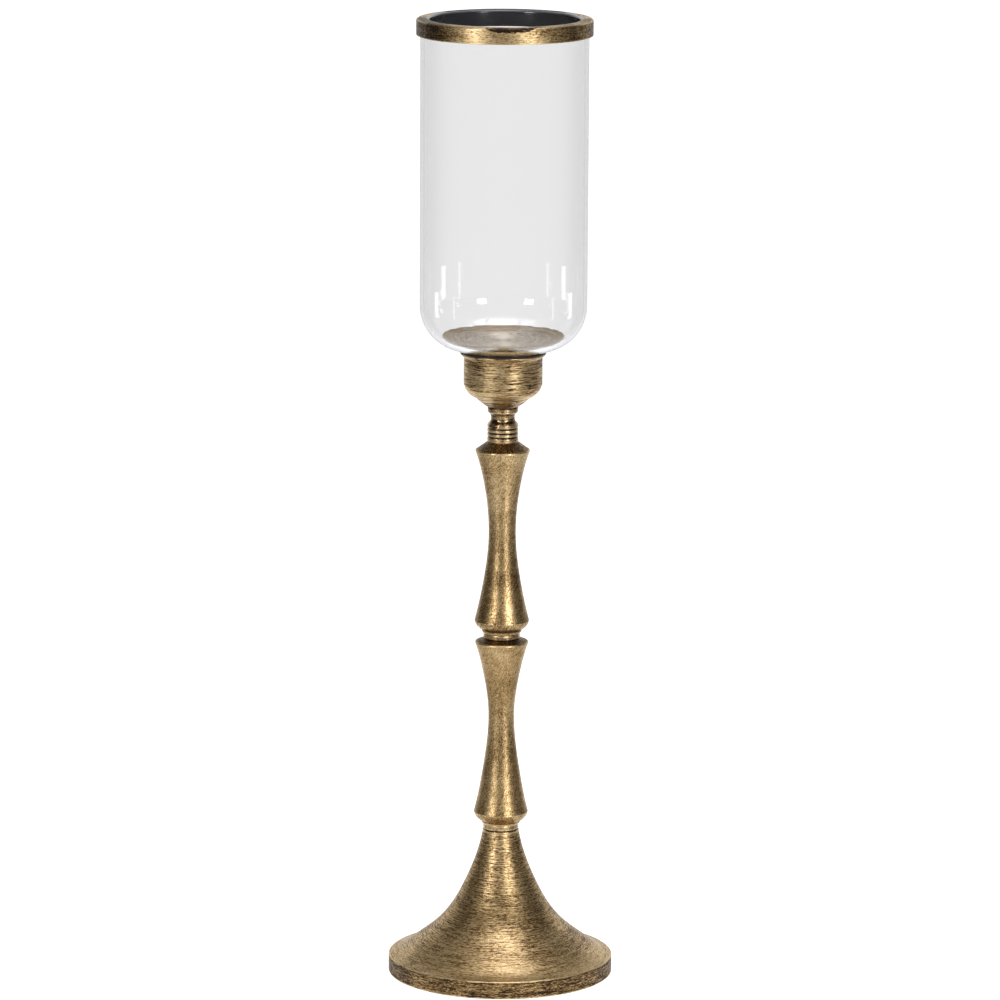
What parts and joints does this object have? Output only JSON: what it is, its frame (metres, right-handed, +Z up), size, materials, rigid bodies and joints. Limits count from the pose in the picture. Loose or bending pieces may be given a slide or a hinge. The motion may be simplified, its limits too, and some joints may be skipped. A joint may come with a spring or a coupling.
{
  "type": "pillar candle holder",
  "caption": "Tall pillar candle holder: flared bell foot, waisted baluster stem, small cup, and a straight clear glass hurricane shade with a metal rim ring and a candle dish inside.",
  "frame": {"origin": "centre of the felt pad's underside, on the table", "axes": "+Z up along the stem's axis"},
  "size_m": [0.14, 0.14, 0.6],
  "materials": {
    "antique_gold_brushed": "dark base coat with antique gold brushed round the axis",
    "antique_gold_cast": "cast surface, dark base coat, rubbed with antique gold",
    "brushed_grey_metal": "brushed, warm grey",
    "zinc_steel": "bright zinc plate",
    "clear_glass": "clear, polished",
    "black_rubber": "matte",
    "brown_fibre": "hard fibre",
    "felt": "dark brown felt"
  },
  "bodies": {
    "stand": {"felt_pad": "felt", "base_bell": "antique_gold_brushed", "foot_collar": "antique_gold_brushed", "lower_baluster": "antique_gold_cast", "middle_collar": "antique_gold_brushed", "upper_baluster": "antique_gold_cast", "ridged_collar": "antique_gold_brushed", "neck_spool": "antique_gold_brushed", "cup": "antique_gold_brushed", "cup_gasket": "black_rubber", "tie_rod": "zinc_steel", "rod_nut": "zinc_steel", "rod_lock_washer": "zinc_steel", "rod_washer": "zinc_steel", "cup_washer": "zinc_steel", "coupling_nut": "zinc_steel"},
    "shade": {"glass_shade": "clear_glass", "rim_ring": "antique_gold_brushed", "rim_liner": "black_rubber"},
    "bush": {"dish_bush": "brown_fibre"},
    "dish": {"candle_dish": "brushed_grey_metal", "dish_stud": "zinc_steel"}
  },
  "joints": [
    {"name": "shade_lift", "type": "slide", "parent": "stand", "child": "shade", "axis": [0, 0, 1], "range_m": [0, 0.1]},
    {"name": "dish_rise", "type": "slide", "parent": "shade", "child": "bush", "axis": [0, 0, 1], "range_m": [0, 0.01]},
    {"name": "dish_unscrew", "type": "hinge", "parent": "bush", "child": "dish", "pos_m": [0, 0, 0.3986], "axis": [0, 0, 1], "range_deg": [0, 2880]}
  ],
  "couplings": [
    {"joint": "dish_rise", "follows": "dish_unscrew", "m_per_rad": 0.00019894}
  ]
}
